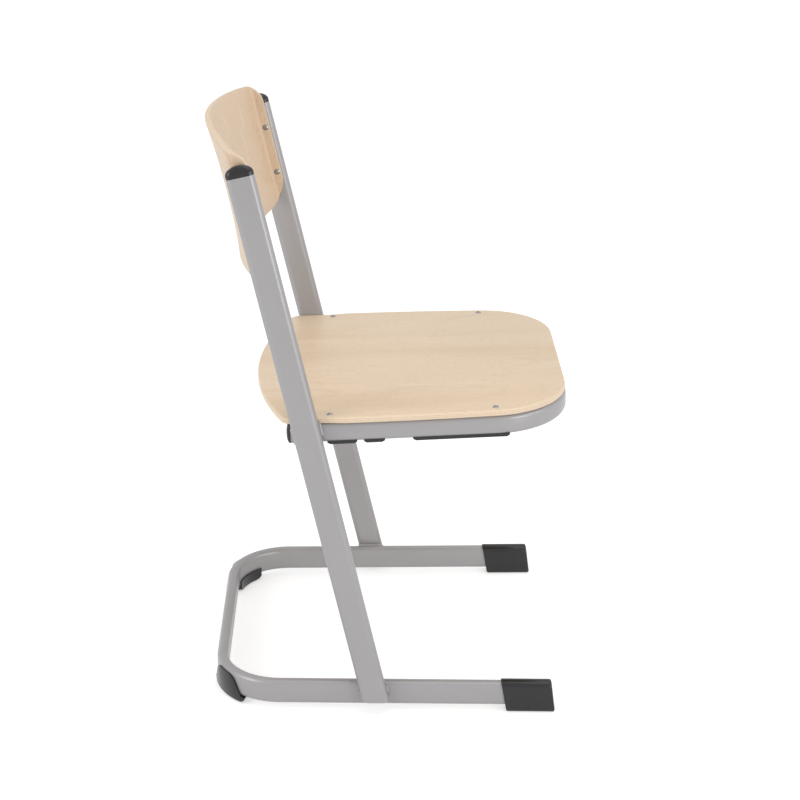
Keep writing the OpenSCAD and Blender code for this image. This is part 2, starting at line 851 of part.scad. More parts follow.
// Weld beads in the grooves beside the left upright's edges, over a stretch of it
module edge_beads(from, to) {
    for (edge = [-1, 1])
        translate([inner_face(from) + bead_set, edge * tube_d / 2, from])
            rotate([0, -toe_in, 0])
                cylinder(r = bead_r, h = (to - from) / cos(toe_in));
}

module foot_weld(side) {
    bead_low = (foot_cut - base_z) / cos(lean) + tube_d / 2 * tan(lean);
    color(steel_colour)
        on_side(side)
            difference() {
                union() {
                    along_uprights()
                        edge_beads(bead_low, arm_top_s);
                    from_feet()
                        translate([arm_x + tube_t / 2 - bead_set,
                            tube_d * tan(lean) - tube_d / 2, base_z + tube_d - bead_set])
                            rotate([-90, 0, 0])
                                cylinder(r = bead_r, h = tube_d);
                }
                along_uprights()
                    upright_outer(upright_len);
                from_feet()
                    base_outer();
            }
}

module rail_weld(side) {
    half = (rail_h - rail_t) / 2 + bead_r;
    color(steel_colour)
        on_side(side)
            difference() {
                union() {
                    along_uprights()
                        edge_beads(rail_weld_s - half, rail_weld_s + half);
                    on_seat()
                        translate([rail_at(upright_y) + rail_t / 2 - bead_set,
                            upright_y - tube_d / 2, rail_mid - rail_h / 2 + bead_set])
                            rotate([-90, 0, -rail_taper])
                                cylinder(r = bead_r, h = tube_d);
                }
                along_uprights()
                    upright_outer(upright_len);
                on_seat()
                    rail_outer();
            }
}

base_frame();
upright(LEFT);  // upright_left
upright(RIGHT);  // upright_right
seat_frame();
seat_plate();
back_plate();
seat_rivets();
back_rivets();
upright_cap(LEFT);  // upright_cap_left
upright_cap(RIGHT);  // upright_cap_right
rail_plug(LEFT);  // rail_plug_left
rail_plug(RIGHT);  // rail_plug_right
front_sleeve(LEFT);  // front_sleeve_left
front_sleeve(RIGHT);  // front_sleeve_right
rear_glide(LEFT);  // rear_glide_left
rear_glide(RIGHT);  // rear_glide_right
pad(LEFT, rear_pad);  // rear_pad_left
pad(RIGHT, rear_pad);  // rear_pad_right
pad(LEFT, middle_pad);  // middle_pad_left
pad(RIGHT, middle_pad);  // middle_pad_right
pad(LEFT, front_pad);  // front_pad_left
pad(RIGHT, front_pad);  // front_pad_right
foot_weld(LEFT);  // foot_weld_left
foot_weld(RIGHT);  // foot_weld_right
rail_weld(LEFT);  // rail_weld_left
rail_weld(RIGHT);  // rail_weld_right
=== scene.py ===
# A rigid school chair: a welded cantilever frame of flat-oval steel tube with a beech
# plywood seat and backrest riveted to it. Metres, in the frame of the CAD model:
# the floor is at z = 0, the sitter faces -Y and their left is +X.
import math

import bmesh
import bpy
from mathutils import Matrix, Vector


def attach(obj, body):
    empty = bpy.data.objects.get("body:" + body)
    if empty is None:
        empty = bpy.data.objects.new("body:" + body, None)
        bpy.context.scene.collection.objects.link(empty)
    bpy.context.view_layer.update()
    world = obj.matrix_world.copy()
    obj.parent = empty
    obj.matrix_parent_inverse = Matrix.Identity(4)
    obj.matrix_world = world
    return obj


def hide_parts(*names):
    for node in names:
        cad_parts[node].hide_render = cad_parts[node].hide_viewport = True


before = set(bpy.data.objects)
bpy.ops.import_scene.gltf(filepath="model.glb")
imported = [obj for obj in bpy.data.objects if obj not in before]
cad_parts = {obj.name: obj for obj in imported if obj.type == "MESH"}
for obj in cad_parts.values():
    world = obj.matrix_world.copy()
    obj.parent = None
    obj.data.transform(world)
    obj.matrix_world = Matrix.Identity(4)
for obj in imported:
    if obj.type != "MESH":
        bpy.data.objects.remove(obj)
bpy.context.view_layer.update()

# Base frame: one length of flat-oval steel tube, 38 by 16.2 mm with a 1.5 mm wall, bent
# flat on a former to a U that is closed behind. Like all the steel it is powder-coated
# silver grey, a satin coat with a faint metallic speckle and orange peel.
tube_depth = 0.038
tube_thick = 0.0162
tube_wall = 0.0015
base_underside = 0.009
base_bend = 0.0888
base_splay = math.radians(1)
foot_y = 0.010213
base_corner = (0.122275, 0.1401 + foot_y)
base_arm = 0.387709
bend_steps = 26
nearly_zero = 1e-6


def pick(piece, test, kind="VERT"):
    """Selects, in edit mode, the vertices, edges or faces that pass a test"""
    bpy.ops.mesh.select_mode(type=kind)
    bpy.ops.mesh.select_all(action="DESELECT")
    mesh = bmesh.from_edit_mesh(piece.data)
    parts = {"VERT": mesh.verts, "EDGE": mesh.edges, "FACE": mesh.faces}[kind]
    for part in parts:
        if test(part):
            part.select_set(True)
    mesh.select_flush_mode()
    bmesh.update_edit_mesh(piece.data)


def place(piece, matrix):
    """Puts a piece in its place, with the place kept in its mesh"""
    bpy.ops.object.select_all(action="DESELECT")
    piece.select_set(True)
    bpy.context.view_layer.objects.active = piece
    piece.matrix_world = matrix
    bpy.ops.object.transform_apply(location=True, rotation=True, scale=True)


def oval_ring(name, thick, depth, steps=48):
    """A flat-oval ring about the origin, thick across X and depth along Z"""
    bpy.ops.object.select_all(action="DESELECT")
    bpy.ops.mesh.primitive_circle_add(vertices=steps, radius=thick / 2)
    piece = bpy.context.object
    piece.name = name
    place(piece, Matrix.Rotation(math.pi / steps, 4, "Y") @ Matrix.Rotation(math.pi / 2, 4, "X"))
    bpy.ops.object.mode_set(mode="EDIT")
    for end in (-1, 1):
        pick(piece, lambda v: end * v.co.z > 0)
        bpy.ops.transform.translate(value=(0, 0, end * (depth - thick) / 2))
    bpy.ops.mesh.select_all(action="SELECT")
    bpy.ops.object.mode_set(mode="OBJECT")
    return piece


def modify(piece, kind, **settings):
    """Gives a piece a modifier and applies it"""
    bpy.ops.object.select_all(action="DESELECT")
    piece.select_set(True)
    bpy.context.view_layer.objects.active = piece
    modifier = piece.modifiers.new(kind.title(), kind)
    for setting, value in settings.items():
        setattr(modifier, setting, value)
    bpy.ops.object.modifier_apply(modifier=modifier.name)


def face_outward(piece):
    """Merges doubles and turns every face outward"""
    bpy.ops.object.select_all(action="DESELECT")
    piece.select_set(True)
    bpy.context.view_layer.objects.active = piece
    bpy.ops.object.mode_set(mode="EDIT")
    bpy.ops.mesh.select_all(action="SELECT")
    bpy.ops.mesh.remove_doubles(threshold=nearly_zero)
    bpy.ops.mesh.normals_make_consistent(inside=False)
    bpy.ops.object.mode_set(mode="OBJECT")


def bent_tube(name, thick, depth, corner, bend, splay, arm):
    """A flat-oval tube drawn through two bends, closed at +Y and level about z = 0"""
    along = Vector((-math.sin(splay), math.cos(splay), 0))
    start = Vector(corner).to_3d() + Vector((along.y, -along.x, 0)) * bend - along * arm
    piece = oval_ring(name, thick, depth)
    place(piece, Matrix.Translation(start) @ Matrix.Rotation(splay, 4, "Z"))
    bpy.ops.object.mode_set(mode="EDIT")
    bpy.ops.mesh.select_all(action="SELECT")
    bpy.ops.mesh.extrude_region_move(TRANSFORM_OT_translate={"value": along * arm})
    for side in (1, -1):
        bpy.ops.mesh.spin(
            steps=bend_steps,
            angle=math.pi / 2 - splay,
            center=(side * corner[0], corner[1], 0),
            axis=(0, 0, -1),
        )
        run = (-2 * corner[0], 0, 0) if side == 1 else (along.x * arm, -along.y * arm, 0)
        bpy.ops.mesh.extrude_region_move(TRANSFORM_OT_translate={"value": run})
    bpy.ops.object.mode_set(mode="OBJECT")
    face_outward(piece)
    return piece


def new_material(name):
    """A material with its Principled shader, and the nodes and links to add to it"""
    material = bpy.data.materials.new(name)
    material.use_nodes = True
    tree = material.node_tree
    return material, tree.nodes["Principled BSDF"], tree.nodes, tree.links


def make_fine_grain():
    """The group that both coat and plastic use: a fine speckle, soft clouds and a skin"""
    group = bpy.data.node_groups.new("fine grain", "ShaderNodeTree")
    for name, value in (("Speckle Scale", 1500.0), ("Skin Scale", 500.0)):
        socket = group.interface.new_socket(name, in_out="INPUT", socket_type="NodeSocketFloat")
        socket.default_value = value
    for name in ("Speckle", "Cloud", "Skin"):
        group.interface.new_socket(name, in_out="OUTPUT", socket_type="NodeSocketFloat")
    nodes, links = group.nodes, group.links
    enter = nodes.new("NodeGroupInput")
    leave = nodes.new("NodeGroupOutput")
    place_node = nodes.new("ShaderNodeTexCoord")
    for name, scale, detail in (("Speckle", None, 1.0), ("Cloud", 9.0, 3.0), ("Skin", None, 2.0)):
        noise = nodes.new("ShaderNodeTexNoise")
        noise.inputs["Detail"].default_value = detail
        links.new(place_node.outputs["Object"], noise.inputs["Vector"])
        if scale is None:
            links.new(enter.outputs[name + " Scale"], noise.inputs["Scale"])
        else:
            noise.inputs["Scale"].default_value = scale
        links.new(noise.outputs["Fac"], leave.inputs[name])
    return group


fine_grain = make_fine_grain()
noise_low = 0.3
noise_high = 0.7


def step_up(nodes, links, source, low, high, to_low=0.0, to_high=1.0, kind="SMOOTHSTEP"):
    """A number spread from one range to another, and held at the ends"""
    node = nodes.new("ShaderNodeMapRange")
    node.interpolation_type = kind
    ends = {"From Min": low, "From Max": high, "To Min": to_low, "To Max": to_high}
    for socket, value in ends.items():
        node.inputs[socket].default_value = value
    links.new(source, node.inputs["Value"])
    return node.outputs["Result"]


def spread(nodes, links, source, low, high):
    """A noise's usual range spread evenly over another"""
    return step_up(nodes, links, source, noise_low, noise_high, low, high, "LINEAR")


def mixed(nodes, links, factor, first, second, kind="MIX"):
    """Two colours mixed by a factor; each is a socket or a plain colour"""
    node = nodes.new("ShaderNodeMix")
    node.data_type = "RGBA"
    node.blend_type = kind
    for source, socket in ((factor, "Factor"), (first, "A"), (second, "B")):
        if isinstance(source, tuple):
            node.inputs[socket].default_value = (*source, 1)
        elif isinstance(source, float):
            node.inputs[socket].default_value = source
        else:
            links.new(source, node.inputs[socket])
    return node.outputs["Result"]


def math_node(nodes, links, operation, *values):
    """One sum on sockets or plain numbers"""
    node = nodes.new("ShaderNodeMath")
    node.operation = operation
    for value, socket in zip(values, node.inputs):
        if isinstance(value, (int, float)):
            socket.default_value = value
        else:
            links.new(value, socket)
    return node.outputs["Value"]


def raise_bump(nodes, links, shader, height, strength, distance):
    """Gives a shader a bump of a height"""
    node = nodes.new("ShaderNodeBump")
    node.inputs["Strength"].default_value = strength
    node.inputs["Distance"].default_value = distance
    links.new(height, node.inputs["Height"])
    links.new(node.outputs["Normal"], shader.inputs["Normal"])


coat_colour = (0.35, 0.341, 0.345)


def make_powder_coat():
    """Satin silver-grey powder coat"""
    material, shader, nodes, links = new_material("silver powder coat")
    shader.inputs["Metallic"].default_value = 0.25
    grain = nodes.new("ShaderNodeGroup")
    grain.node_tree = fine_grain
    grain.inputs["Speckle Scale"].default_value = 2200.0
    grain.inputs["Skin Scale"].default_value = 420.0
    shade = math_node(
        nodes,
        links,
        "MULTIPLY",
        spread(nodes, links, grain.outputs["Speckle"], 0.93, 1.07),
        spread(nodes, links, grain.outputs["Cloud"], 0.98, 1.02),
    )
    colour = mixed(nodes, links, 1.0, coat_colour, shade, "MULTIPLY")
    links.new(colour, shader.inputs["Base Color"])
    rough = spread(nodes, links, grain.outputs["Speckle"], 0.3, 0.38)
    links.new(rough, shader.inputs["Roughness"])
    skin = grain.outputs["Skin"]
    raise_bump(nodes, links, shader, skin, strength=0.25, distance=0.00006)
    return material


powder_coat = make_powder_coat()


def finish_piece(piece, material, slot, *nodes, angle=32):
    """Smooths a piece, dresses it and has it stand for its CAD nodes"""
    bpy.ops.object.select_all(action="DESELECT")
    piece.select_set(True)
    bpy.context.view_layer.objects.active = piece
    bpy.ops.object.shade_smooth_by_angle(angle=math.radians(angle))
    piece.data.materials.clear()
    piece.data.materials.append(material)
    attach(piece, "root")
    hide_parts(*nodes)


base_tube = bent_tube(
    "base_tube", tube_thick, tube_depth, base_corner, base_bend, base_splay, base_arm
)
place(base_tube, Matrix.Translation((0, 0, base_underside + tube_depth / 2)))
modify(base_tube, "SOLIDIFY", thickness=tube_wall, offset=-1, use_even_offset=True)
finish_piece(base_tube, powder_coat, "steel", "base_frame")

# Uprights: two straight lengths of the same tube, leaning back and closing in towards
# the top. Each is sawn square at the top and level at the foot, and welded to the
# outer face of a base arm.
lean = math.radians(13.26)
toe_in = math.radians(1.45)
upright_length = 0.801
upright_x = 0.230997
foot_cut = 0.0225
sides = (("left", 1), ("right", -1))
uprights = Matrix.Translation((0, foot_y, base_underside)) @ Matrix.Rotation(-lean, 4, "X")


def upright_axis(side):
    """The frame of one upright, with Z along it from the underside of the base"""
    foot = Matrix.Translation((side * upright_x, 0, 0))
    return uprights @ foot @ Matrix.Rotation(-side * toe_in, 4, "Y")


for side_name, side in sides:
    upright = oval_ring("upright_tube_" + side_name, tube_thick, tube_depth)
    bpy.ops.object.mode_set(mode="EDIT")
    bpy.ops.mesh.select_all(action="SELECT")
    length = upright_length / math.cos(toe_in)
    bpy.ops.mesh.extrude_region_move(TRANSFORM_OT_translate={"value": (0, -length, 0)})
    bpy.ops.object.mode_set(mode="OBJECT")
    place(upright, upright_axis(side) @ Matrix.Rotation(-math.pi / 2, 4, "X"))
    bpy.ops.object.mode_set(mode="EDIT")
    bpy.ops.mesh.select_all(action="SELECT")
    bpy.ops.mesh.bisect(plane_co=(0, 0, foot_cut), plane_no=(0, 0, 1), clear_inner=True)
    bpy.ops.object.mode_set(mode="OBJECT")
    face_outward(upright)
    modify(upright, "SOLIDIFY", thickness=tube_wall, offset=-1, use_even_offset=True)
    finish_piece(upright, powder_coat, "steel", "upright_" + side_name)

# Seat frame: one length of a smaller flat-oval tube, 30 by 16 mm, bent to a U that is
# closed in front. It closes in a little towards the front and rises 2.4 degrees, and
# its two ends run on just past the uprights that they are welded to.
rail_height = 0.03
rail_thick = 0.016
rail_wall = 0.0015
rail_bend = 0.099
rail_taper = math.radians(1.42)
rail_corner = (0.09746, 0.1562)
rail_arm = 0.282272
rail_middle = -0.024
seat_height = 0.4574
seat_tilt = math.radians(2.4)
seat_place = Matrix.Translation((0, foot_y, seat_height)) @ Matrix.Rotation(-seat_tilt, 4, "X")

seat_tube = bent_tube(
    "seat_tube", rail_thick, rail_height, rail_corner, rail_bend, rail_taper, rail_arm
)
turned = Matrix.Translation((0, 0, rail_middle)) @ Matrix.Rotation(math.pi, 4, "Z")
place(seat_tube, seat_place @ turned)
modify(seat_tube, "SOLIDIFY", thickness=rail_wall, offset=-1, use_even_offset=True)
finish_piece(seat_tube, powder_coat, "steel", "seat_frame")

# Welds: short beads laid by hand in the grooves where the uprights meet the base arms
# and the seat frame, with the ripples of the weld showing through the powder coat.
bead_radius = 0.003
bead_pitch = 0.0024
bead_steps_each = 4
bead_sides = 16
bead_dip = 0.11
bead_end = 0.55
bead_swell = 4
bead_set = 0.0014


def weld_bead(name, length, matrix):
    """One rippled bead along +Y from the origin, tapering at both ends"""
    piece = oval_ring(name, 2 * bead_radius, 2 * bead_radius, steps=bead_sides)
    rings = max(3, round(length / bead_pitch)) * bead_steps_each
    bpy.ops.object.mode_set(mode="EDIT")
    bpy.ops.mesh.select_all(action="SELECT")
    bpy.ops.mesh.edge_face_add()
    size = 1.0
    for ring in range(rings + 1):
        at = ring / rings
        ripple = 1 - bead_dip * (ring % bead_steps_each) / (bead_steps_each - 1)
        taper = min(1.0, bead_end + bead_swell * min(at, 1 - at))
        if ring:
            step = (0, length / rings, 0)
            bpy.ops.mesh.extrude_region_move(TRANSFORM_OT_translate={"value": step})
        scale = ripple * taper / size
        middle = (0, at * length, 0)
        bpy.ops.transform.resize(value=(scale, 1, scale), center_override=middle)
        size = ripple * taper
    bpy.ops.object.mode_set(mode="OBJECT")
    face_outward(piece)
    place(piece, matrix)
    return piece


def joined(name, pieces):
    """Several pieces made one mesh"""
    bpy.ops.object.select_all(action="DESELECT")
    for piece in pieces:
        piece.select_set(True)
    bpy.context.view_layer.objects.active = pieces[0]
    bpy.ops.object.join()
    pieces[0].name = name
    return pieces[0]


upright_inner = upright_x - tube_thick / 2 / math.cos(toe_in)
foot_beads = (0.01835, 0.03072)
foot_bead_x = 0.220234
foot_bead_start = (foot_y - 0.01005, 0.0456)
rail_beads = (0.42603, 0.44603)
rail_bead_x = 0.209442
rail_bead_start = (0.08101, -0.0376)


def groove_beads(name, side, span):
    """Two beads up the edges of an upright, between two heights along it"""
    low, high = span
    beads = []
    for edge in (-1, 1):
        x = upright_inner - low * math.tan(toe_in) + bead_set
        spot = Matrix.Translation((side * x, edge * tube_depth / 2, low))
        turn = Matrix.Rotation(-side * toe_in, 4, "Y") @ Matrix.Rotation(math.pi / 2, 4, "X")
        beads.append(weld_bead(name, high - low, uprights @ spot @ turn))
    return beads


for side_name, side in sides:
    beads = groove_beads("foot_bead", side, foot_beads)
    along_arm = Matrix.Translation((side * foot_bead_x, *foot_bead_start))
    beads.append(weld_bead("foot_bead", tube_depth, along_arm))
    weld = joined("foot_weld_bead_" + side_name, beads)
    finish_piece(weld, powder_coat, "steel", "foot_weld_" + side_name, angle=60)
    beads = groove_beads("rail_bead", side, rail_beads)
    along_rail = Matrix.Translation((side * rail_bead_x, *rail_bead_start))
    turn = Matrix.Rotation(-side * rail_taper, 4, "Z")
    beads.append(weld_bead("rail_bead", tube_depth, seat_place @ along_rail @ turn))
    weld = joined("rail_weld_bead_" + side_name, beads)
    finish_piece(weld, powder_coat, "steel", "rail_weld_" + side_name, angle=60)

# Seat: a flat board of seven beech plies, 9 mm in all, sawn to shape with wide rounded
# front corners, a waist beside the uprights and a bowed rear edge. Its edges are eased
# and it is clear-lacquered, with the grain running from front to back.
board = 0.009
plies = 7
seat_half = 0.2145
seat_side_draw = 0.007
seat_widest = 0.0496
seat_front = 0.262
seat_corner = 0.109
seat_rear = 0.1763
seat_rear_corner = 0.016
seat_rear_bow = 0.52
waist_x = 0.211058
waist_start = 0.044302
waist_end = 0.080302
top_ease = 0.0028
bottom_ease = 0.0014
top_ease_steps = 5
bottom_ease_steps = 3
front_steps = 24
side_steps = 16
waist_steps = 12
rear_corner_steps = 12
rear_steps = 15
streak_colour = (0.87, 0.73, 0.56)
fleck_colour = (0.42, 0.25, 0.13)
long_ply_colours = ((0.80, 0.66, 0.50), (0.77, 0.62, 0.46))
end_ply_colours = ((0.73, 0.57, 0.41), (0.68, 0.52, 0.36))
glue_colour = (0.52, 0.37, 0.25)


def seat_side(y):
    """Half the width of the seat at y in front of the waist"""
    share = (y - seat_widest) / (seat_widest + seat_front - seat_corner)
    return seat_half - seat_side_draw * share * share


def seat_outline():
    """The outline of the seat's left half, from the middle of its front edge to its rear"""
    corner_y = seat_corner - seat_front
    lean_in = math.atan(2 * seat_side_draw / (seat_widest - corner_y))
    turn_y = corner_y - seat_corner * math.sin(lean_in)
    corner_x = seat_side(turn_y) - seat_corner * math.cos(lean_in)
    points = []
    for step in range(front_steps + 1):
        a = -math.pi / 2 + (math.pi / 2 - lean_in) * step / front_steps
        x = corner_x + seat_corner * math.cos(a)
        points.append((x, corner_y + seat_corner * math.sin(a)))
    for step in range(1, side_steps + 1):
        y = turn_y + (waist_start - turn_y) * step / side_steps
        points.append((seat_side(y), y))
    for step in range(1, waist_steps + 1):
        share = step / waist_steps
        y = waist_start + (waist_end - waist_start) * share
        ease = share * share * (3 - 2 * share)
        points.append((seat_side(y) + (waist_x - seat_side(y)) * ease, y))
    rear_y = seat_rear - seat_rear_bow
    turn_x = waist_x - seat_rear_corner
    reach = seat_rear_bow - seat_rear_corner
    rear_turn_y = rear_y + math.sqrt(reach * reach - turn_x * turn_x)
    rear_turn = math.atan2(rear_turn_y - rear_y, turn_x)
    for step in range(rear_corner_steps + 1):
        a = rear_turn * step / rear_corner_steps
        x = turn_x + seat_rear_corner * math.cos(a)
        points.append((x, rear_turn_y + seat_rear_corner * math.sin(a)))
    for step in range(1, rear_steps + 1):
        a = rear_turn + (math.pi / 2 - rear_turn) * step / rear_steps
        points.append((seat_rear_bow * math.cos(a), rear_y + seat_rear_bow * math.sin(a)))
    return points


def both_halves(points):
    """A left half outline and its mirror image, as one closed outline"""
    mirrored = [(-x, y) for x, y in reversed(points) if abs(x) > nearly_zero]
    half = [(max(x, 0), y) if abs(x) < nearly_zero else (x, y) for x, y in points]
    return half + mirrored


def sawn_board(name, outline):
    """A flat board of the plies, sawn to an outline in XY, with its top at z = 0"""
    bpy.ops.object.select_all(action="DESELECT")
    bpy.ops.mesh.primitive_circle_add(vertices=len(outline), radius=1, fill_type="NGON")
    piece = bpy.context.object
    piece.name = name
    for vertex, point in zip(piece.data.vertices, outline):
        vertex.co = (*point, 0)
    bpy.ops.object.mode_set(mode="EDIT")
    bpy.ops.mesh.select_all(action="SELECT")
    bpy.ops.mesh.extrude_region_move(TRANSFORM_OT_translate={"value": (0, 0, -board)})
    bpy.ops.object.mode_set(mode="OBJECT")
    face_outward(piece)
    bpy.ops.object.mode_set(mode="EDIT")
    eased = ((0, top_ease, top_ease_steps), (-board, bottom_ease, bottom_ease_steps))
    for level, ease, steps in eased:
        pick(
            piece,
            lambda e: all(abs(v.co.z - level) < nearly_zero for v in e.verts),
            "EDGE",
        )
        bpy.ops.mesh.bevel(offset=ease, segments=steps, affect="EDGES")
    bpy.ops.object.mode_set(mode="OBJECT")
    return piece


def cut_across(piece, axis, places):
    """Cuts a board across an axis at each place, for its bends to follow"""
    normal = [0, 0, 0]
    normal[axis] = 1
    bpy.ops.object.mode_set(mode="EDIT")
    for place_at in places:
        point = [0, 0, 0]
        point[axis] = place_at
        bpy.ops.mesh.select_all(action="SELECT")
        bpy.ops.mesh.bisect(plane_co=point, plane_no=normal)
    bpy.ops.object.mode_set(mode="OBJECT")


def mark_plies(piece):
    """Records where each point lies on the flat board, as a UV map and a depth"""
    veneer = piece.data.uv_layers.new(name="veneer")
    depth = piece.data.attributes.new("depth", "FLOAT", "POINT")
    for vertex in piece.data.vertices:
        depth.data[vertex.index].value = -vertex.co.z / board
    for loop in piece.data.loops:
        veneer.data[loop.index].uv = piece.data.vertices[loop.vertex_index].co.xy


def stretched_noise(nodes, links, vector, scale, detail=2.0, distortion=0.0, offset=0.0):
    """Noise on the veneer's own coordinates, with its own scale across and along the grain"""
    mapping = nodes.new("ShaderNodeMapping")
    mapping.inputs["Scale"].default_value = (*scale, 1)
    mapping.inputs["Location"].default_value = (offset, offset * 0.7, offset * 1.3)
    noise = nodes.new("ShaderNodeTexNoise")
    noise.inputs["Scale"].default_value = 1.0
    noise.inputs["Detail"].default_value = detail
    noise.inputs["Distortion"].default_value = distortion
    links.new(vector, mapping.inputs["Vector"])
    links.new(mapping.outputs["Vector"], noise.inputs["Vector"])
    return noise.outputs["Fac"]


def make_beech():
    """The group for beech: rotary-cut face veneer with flame lines, light bands and short
    ray flecks, and the plies that show in turn round the edge"""
    group = bpy.data.node_groups.new("beech plywood", "ShaderNodeTree")
    for name, kind in (
        ("Face", "NodeSocketColor"),
        ("Flame", "NodeSocketColor"),
        ("Place", "NodeSocketVector"),
        ("Depth", "NodeSocketFloat"),
    ):
        group.interface.new_socket(name, in_out="INPUT", socket_type=kind)
    for name, kind in (
        ("Color", "NodeSocketColor"),
        ("Roughness", "NodeSocketFloat"),
        ("Height", "NodeSocketFloat"),
    ):
        group.interface.new_socket(name, in_out="OUTPUT", socket_type=kind)
    nodes, links = group.nodes, group.links
    enter = nodes.new("NodeGroupInput")
    leave = nodes.new("NodeGroupOutput")
    where = enter.outputs["Place"]
    # Soft bands along the grain
    bands = stretched_noise(nodes, links, where, (16, 1.8), detail=4.0, distortion=0.4, offset=3.1)
    colour = mixed(
        nodes,
        links,
        step_up(nodes, links, bands, 0.42, 0.72, to_high=0.55),
        enter.outputs["Face"],
        enter.outputs["Flame"],
    )
    # Flame lines: the contours of a slow swell, faint and broken
    swell = stretched_noise(nodes, links, where, (5.5, 1.3), distortion=0.9, offset=7.4)
    fold = math_node(nodes, links, "MULTIPLY", swell, 9.0)
    fold = math_node(nodes, links, "PINGPONG", fold, 0.5)
    line = step_up(nodes, links, fold, 0.0, 0.16, 1.0, 0.0)
    gaps = stretched_noise(nodes, links, where, (9, 4), offset=1.7)
    broken = step_up(nodes, links, gaps, 0.45, 0.7)
    line = math_node(nodes, links, "MULTIPLY", line, broken)
    line = math_node(nodes, links, "MULTIPLY", line, 0.45)
    colour = mixed(nodes, links, line, colour, enter.outputs["Flame"])
    # Light watery streaks
    streak = stretched_noise(nodes, links, where, (60, 5), detail=3.0, distortion=0.6, offset=5.2)
    light = step_up(nodes, links, streak, 0.6, 0.78, to_high=0.35)
    colour = mixed(nodes, links, light, colour, streak_colour)
    # Ray flecks, short and dark
    fleck = stretched_noise(nodes, links, where, (900, 130), detail=0.0, offset=0.3)
    dark = step_up(nodes, links, fleck, 0.68, 0.76, to_high=0.28)
    colour = mixed(nodes, links, dark, colour, fleck_colour)
    # Fibres
    fibre = stretched_noise(nodes, links, where, (1600, 22), offset=2.2)
    shade = step_up(nodes, links, fibre, noise_low, noise_high, 0.965, 1.035)
    colour = mixed(nodes, links, 1.0, colour, shade, "MULTIPLY")
    # Plies round the edge: every second one shows end grain, with a thin line of glue
    layer = math_node(nodes, links, "MULTIPLY", enter.outputs["Depth"], float(plies))
    under_top = step_up(nodes, links, layer, 0.9, 1.0)
    above_last = step_up(nodes, links, layer, plies - 1.0, plies - 0.9, 1.0, 0.0)
    inner = math_node(nodes, links, "MULTIPLY", under_top, above_last)
    turn = math_node(nodes, links, "ADD", layer, 0.5)
    turn = math_node(nodes, links, "PINGPONG", turn, 1.0)
    end_grain = step_up(nodes, links, turn, 0.44, 0.56)
    glue_line = math_node(nodes, links, "PINGPONG", layer, 0.5)
    glue = step_up(nodes, links, glue_line, 0.03, 0.09, 0.5, 0.0)
    pores = stretched_noise(nodes, links, where, (900, 900), detail=1.0, offset=4.0)
    pores = step_up(nodes, links, pores, 0.4, 0.7)
    long_ply = mixed(nodes, links, pores, *long_ply_colours)
    end_ply = mixed(nodes, links, pores, *end_ply_colours)
    edge = mixed(nodes, links, end_grain, long_ply, end_ply)
    edge = mixed(nodes, links, glue, edge, glue_colour)
    colour = mixed(nodes, links, inner, colour, edge)
    rough = step_up(nodes, links, fibre, noise_low, noise_high, 0.40, 0.50)
    rough = math_node(nodes, links, "MULTIPLY_ADD", inner, 0.12, rough)
    height = math_node(nodes, links, "MULTIPLY_ADD", dark, -2.0, fibre)
    links.new(colour, leave.inputs["Color"])
    links.new(rough, leave.inputs["Roughness"])
    links.new(height, leave.inputs["Height"])
    return group


beech = make_beech()


def make_veneer(name, face, flame, shift, stretch):
    """A lacquered beech material on the flat board's own coordinates"""
    material, shader, nodes, links = new_material(name)
    shader.inputs["Coat Weight"].default_value = 0.15
    shader.inputs["Coat Roughness"].default_value = 0.3
    wood = nodes.new("ShaderNodeGroup")
    wood.node_tree = beech
    wood.inputs["Face"].default_value = (*face, 1)
    wood.inputs["Flame"].default_value = (*flame, 1)
    uv = nodes.new("ShaderNodeUVMap")
    uv.uv_map = "veneer"
    mapping = nodes.new("ShaderNodeMapping")
    mapping.inputs["Location"].default_value = (*shift, 0)
    mapping.inputs["Scale"].default_value = (*stretch, 1)
    depth = nodes.new("ShaderNodeAttribute")
    depth.attribute_name = "depth"
    links.new(uv.outputs["UV"], mapping.inputs["Vector"])
    links.new(mapping.outputs["Vector"], wood.inputs["Place"])
    links.new(depth.outputs["Fac"], wood.inputs["Depth"])
    links.new(wood.outputs["Color"], shader.inputs["Base Color"])
    links.new(wood.outputs["Roughness"], shader.inputs["Roughness"])
    height = wood.outputs["Height"]
    raise_bump(nodes, links, shader, height, strength=0.12, distance=0.00012)
    return material


seat_board = sawn_board("seat_board", both_halves(seat_outline()))
mark_plies(seat_board)
place(seat_board, seat_place)
seat_veneer = make_veneer(
    "seat beech",
    face=(0.77, 0.605, 0.43),
    flame=(0.67, 0.5, 0.325),
    shift=(0.31, 0.12),
    stretch=(1, 1),
)
finish_piece(seat_board, seat_veneer, "beech", "seat_plate", angle=25)

# Backrest: the same plywood, pressed in a curved mould: a wide arc with a flat margin
# bent forward at each side, where it is riveted to the uprights, and an upper edge that
# rises to the middle. Here the flat board is sawn first and then pressed.
back_bottom = 0.6475
back_top = 0.8505
back_crown = 0.0225
back_ref = 0.7551
back_depth = 0.044
back_reach = 0.0118
back_flat = 0.0103
back_bend = 0.016
back_bow = 0.0067
back_bow_reach = 0.1
back_gap = 0.0002
back_upper_corner = 0.022
back_lower_corner = 0.04
back_corner_steps = 12
back_upper_steps = 10
back_crown_steps = 30
back_arc_cuts = 28
back_bend_cuts = 8
back_rows = 12
back_row = 0.0165
back_flat_w = back_flat - back_reach
back_x = upright_inner - back_ref * math.tan(toe_in) - back_gap
back_turn = 2 * math.atan((back_depth - back_flat_w - back_bend) / (back_x - back_bend))
back_radius = (back_x - back_bend) / math.sin(back_turn) + back_bend
arc_length = back_radius * back_turn
bend_length = back_bend * (math.pi / 2 - back_turn)
back_half = arc_length + bend_length + back_flat


